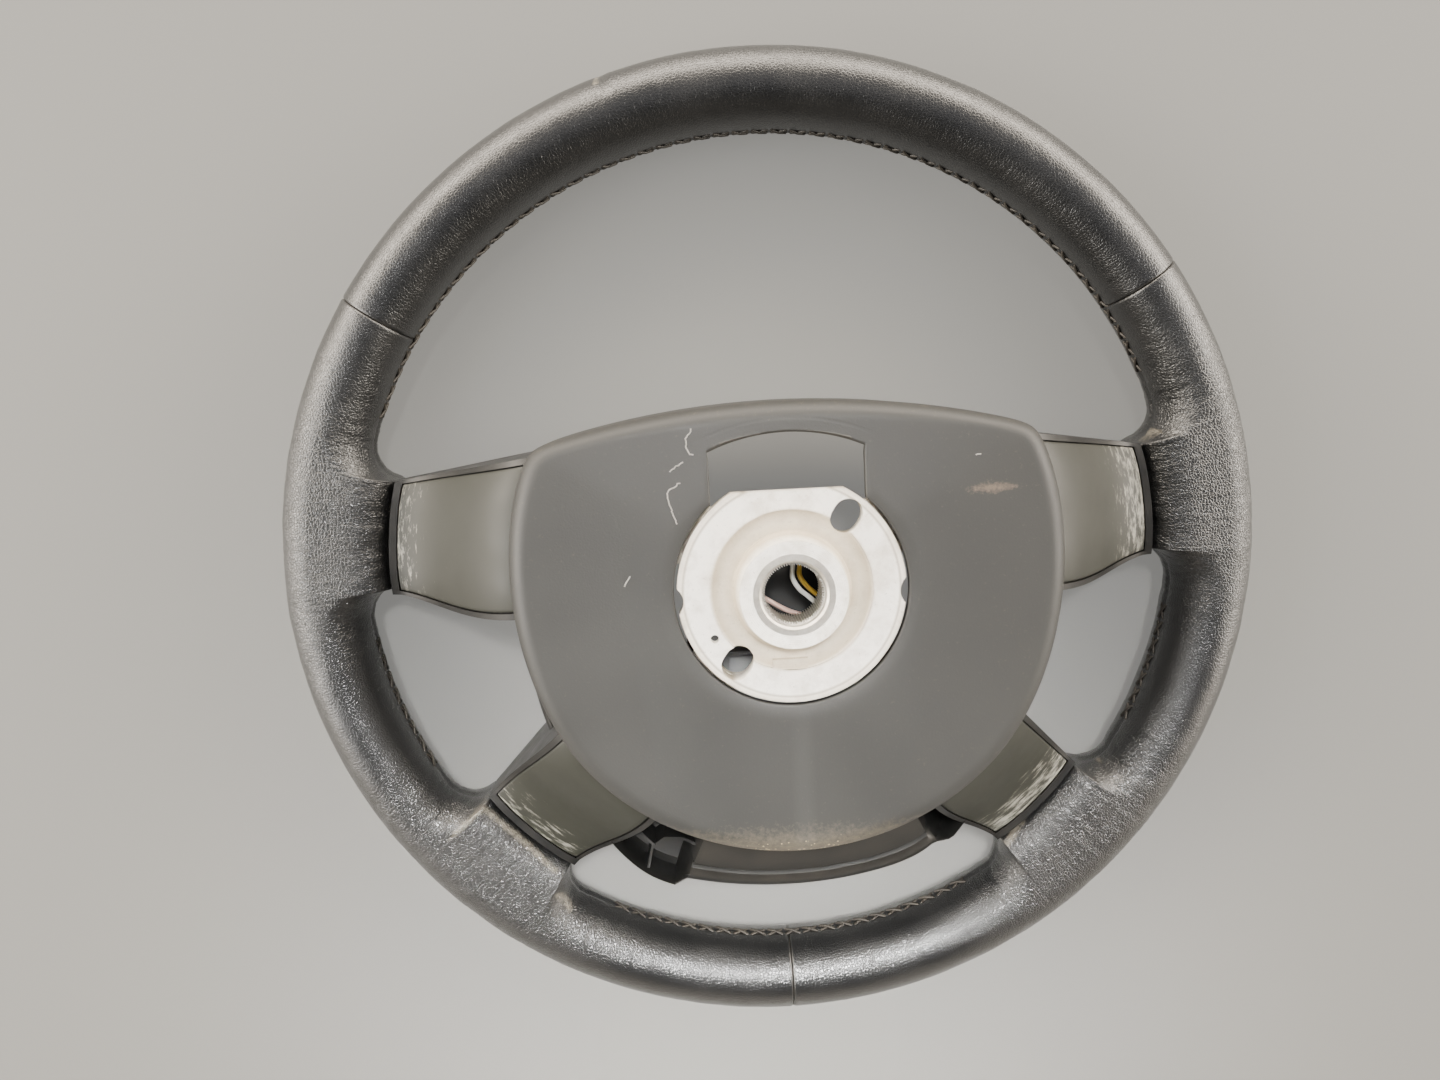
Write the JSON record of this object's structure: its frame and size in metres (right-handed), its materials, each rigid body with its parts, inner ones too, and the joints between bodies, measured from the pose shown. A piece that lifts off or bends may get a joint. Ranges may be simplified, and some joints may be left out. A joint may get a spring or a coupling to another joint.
{
  "type": "car steering wheel",
  "caption": "Car steering wheel with a stitched leather rim, cast frame with a splined hub, back cover and sprung horn contacts, shown without its airbag.",
  "frame": {"origin": "on the axis of the splined hub, in the plane that the front of the rim lies on", "axes": "+Z along the hub axis towards the steering column, +Y towards the top of the wheel"},
  "size_m": [0.3798, 0.38, 0.1065],
  "materials": {
    "cast_alloy": "bright cast, oxide marks",
    "sleeve_steel": "turned",
    "steel_ring": "plain",
    "foam": "matt",
    "leather": "grained, worn satin",
    "cover_plastic": "fine grain, satin",
    "bezel_plastic": "fine grain",
    "trim_plastic": "satin lacquer, scuffed",
    "screws": "zinc plated",
    "bush_plastic": "natural",
    "pin_brass": "plain",
    "spring_steel": "plain",
    "shield_plastic": "satin",
    "plug_plastic": "satin",
    "wire_white": "smooth",
    "wire_yellow": "smooth",
    "wire_pink": "smooth"
  },
  "bodies": {
    "wheel": {"armature": "cast_alloy", "spline_sleeve": "sleeve_steel", "rim_core": "steel_ring", "rim_foam": "foam", "leather_top": "leather", "leather_left": "leather", "leather_right": "leather", "back_cover": "cover_plastic", "front_bezel": "bezel_plastic", "trim_upper_left": "trim_plastic", "trim_upper_right": "trim_plastic", "trim_lower_left": "trim_plastic", "trim_lower_right": "trim_plastic", "cover_screws": "screws", "bezel_screws": "screws", "horn_bush_left": "bush_plastic", "horn_bush_right": "bush_plastic", "horn_bush_lower": "bush_plastic", "horn_spring_left": "spring_steel", "horn_spring_right": "spring_steel", "horn_spring_lower": "spring_steel", "wiring_shield": "shield_plastic", "harness_plug": "plug_plastic", "wire_white": "wire_white", "wire_yellow": "wire_yellow", "wire_pink": "wire_pink"},
    "horn_contact_left": {"horn_pin_left": "pin_brass", "horn_ring_left": "spring_steel"},
    "horn_contact_right": {"horn_pin_right": "pin_brass", "horn_ring_right": "spring_steel"},
    "horn_contact_lower": {"horn_pin_lower": "pin_brass", "horn_ring_lower": "spring_steel"}
  },
  "joints": [
    {"name": "horn_press_left", "type": "slide", "parent": "wheel", "child": "horn_contact_left", "axis": [0, 0, 1], "range_m": [0, 0.0025], "stiffness_N_per_m": 1200, "springref_m": -0.004, "deforming": ["horn_spring_left"]},
    {"name": "horn_press_right", "type": "slide", "parent": "wheel", "child": "horn_contact_right", "axis": [0, 0, 1], "range_m": [0, 0.0025], "stiffness_N_per_m": 1200, "springref_m": -0.004, "deforming": ["horn_spring_right"]},
    {"name": "horn_press_lower", "type": "slide", "parent": "wheel", "child": "horn_contact_lower", "axis": [0, 0, 1], "range_m": [0, 0.0025], "stiffness_N_per_m": 1200, "springref_m": -0.004, "deforming": ["horn_spring_lower"]}
  ]
}
